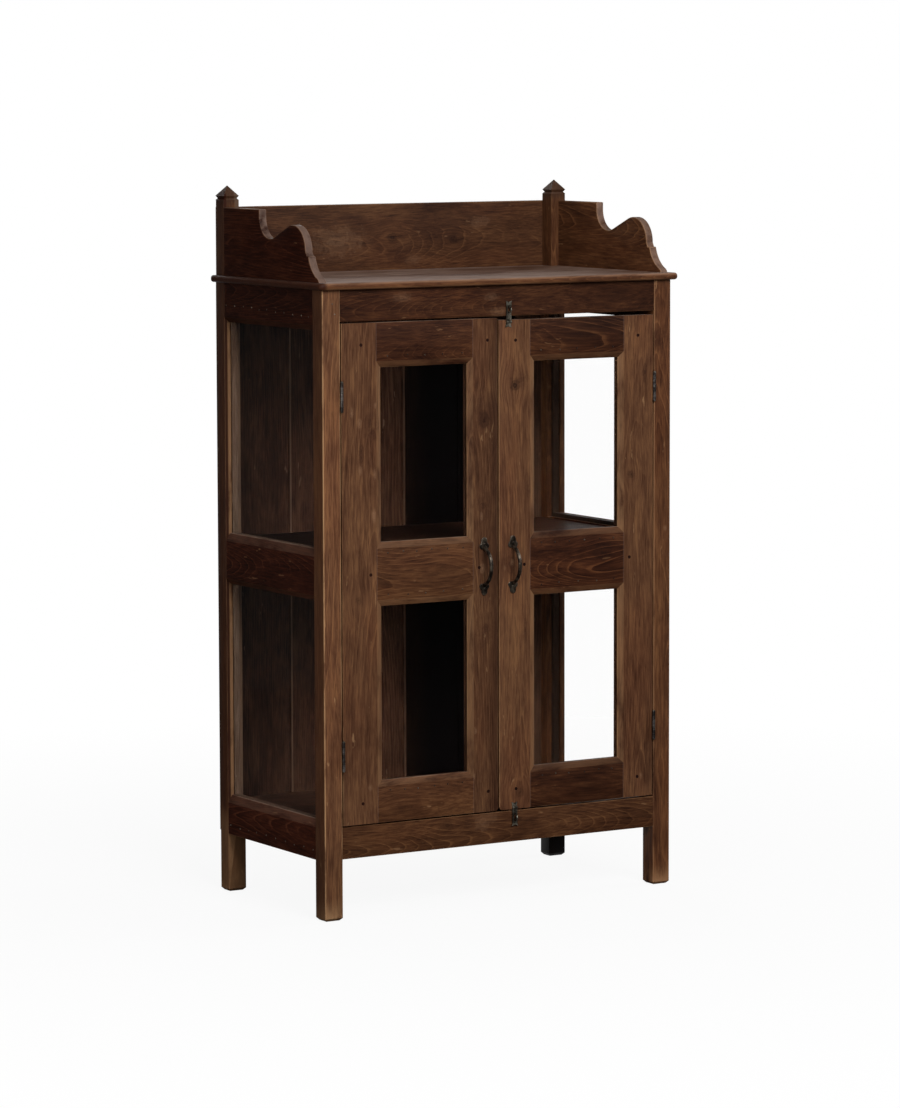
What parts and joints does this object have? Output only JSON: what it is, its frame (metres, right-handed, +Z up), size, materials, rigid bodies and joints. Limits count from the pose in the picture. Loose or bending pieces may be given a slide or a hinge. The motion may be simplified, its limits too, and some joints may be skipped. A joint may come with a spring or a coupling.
{
  "type": "glazed wooden cabinet",
  "caption": "Upright hardwood cabinet on square legs with glazed doors and sides, a plank back, a shelf, iron bow handles, hasps and a scrolled gallery on top.",
  "frame": {"origin": "on the floor, under the middle of the bounding box", "axes": "+Z up, the doors face -Y, +X to the right as seen from the front"},
  "size_m": [0.747, 0.423, 1.279],
  "materials": {
    "wood": "old waxed teak, dark, with worn edges",
    "inner_wood": "unpolished teak, dry and dusty",
    "pegs": "dark end grain",
    "glass": "clear old window glass",
    "iron": "black iron, rubbed bright on the high places"
  },
  "bodies": {
    "cabinet": {"back_boards": "inner_wood", "back_bottom_rail": "inner_wood", "back_left_post": "wood", "back_right_post": "wood", "back_top_rail": "inner_wood", "board_cleats": "inner_wood", "bottom_board": "inner_wood", "door_stops": "inner_wood", "front_bottom_rail": "wood", "front_left_post": "wood", "front_right_post": "wood", "front_top_rail": "wood", "gallery_back_board": "wood", "gallery_left_scroll": "wood", "gallery_right_scroll": "wood", "hasp_staples": "iron", "hinge_pins": "iron", "left_lower_side_pane": "glass", "left_side_bottom_rail": "wood", "left_side_middle_rail": "wood", "left_side_top_rail": "wood", "left_upper_side_pane": "glass", "post_hinge_leaves": "iron", "right_lower_side_pane": "glass", "right_side_bottom_rail": "wood", "right_side_middle_rail": "wood", "right_side_top_rail": "wood", "right_upper_side_pane": "glass", "shelf": "inner_wood", "side_glazing_beads": "wood", "top_board": "wood"},
    "left_door": {"left_door_beads": "wood", "left_door_bottom_rail": "wood", "left_door_handle": "iron", "left_door_hinge_leaves": "iron", "left_door_hinge_stile": "wood", "left_door_lower_pane": "glass", "left_door_meeting_stile": "wood", "left_door_middle_rail": "wood", "left_door_pegs": "pegs", "left_door_top_rail": "wood", "left_door_upper_pane": "glass"},
    "right_door": {"right_door_beads": "wood", "right_door_bottom_rail": "wood", "right_door_handle": "iron", "right_door_hinge_leaves": "iron", "right_door_hinge_stile": "wood", "right_door_lower_pane": "glass", "right_door_meeting_stile": "wood", "right_door_middle_rail": "wood", "right_door_pegs": "pegs", "right_door_top_rail": "wood", "right_door_upper_pane": "glass", "hasp_leaves": "iron"},
    "top_hasp": {"top_hasp_strap": "iron"},
    "bottom_hasp": {"bottom_hasp_strap": "iron"}
  },
  "joints": [
    {"name": "left_door_hinge", "type": "hinge", "parent": "cabinet", "child": "left_door", "pos_m": [-0.326, -0.1866, 0.608], "axis": [0, 0, -1], "range_deg": [0, 170]},
    {"name": "right_door_hinge", "type": "hinge", "parent": "cabinet", "child": "right_door", "pos_m": [0.326, -0.1866, 0.608], "axis": [0, 0, 1], "range_deg": [0, 170]},
    {"name": "top_hasp_hinge", "type": "hinge", "parent": "right_door", "child": "top_hasp", "pos_m": [0.016, -0.18605, 1.0405], "axis": [1, 0, 0], "range_deg": [0, 170]},
    {"name": "bottom_hasp_hinge", "type": "hinge", "parent": "right_door", "child": "bottom_hasp", "pos_m": [0.0275, -0.18605, 0.17], "axis": [-1, 0, 0], "range_deg": [0, 170]}
  ]
}
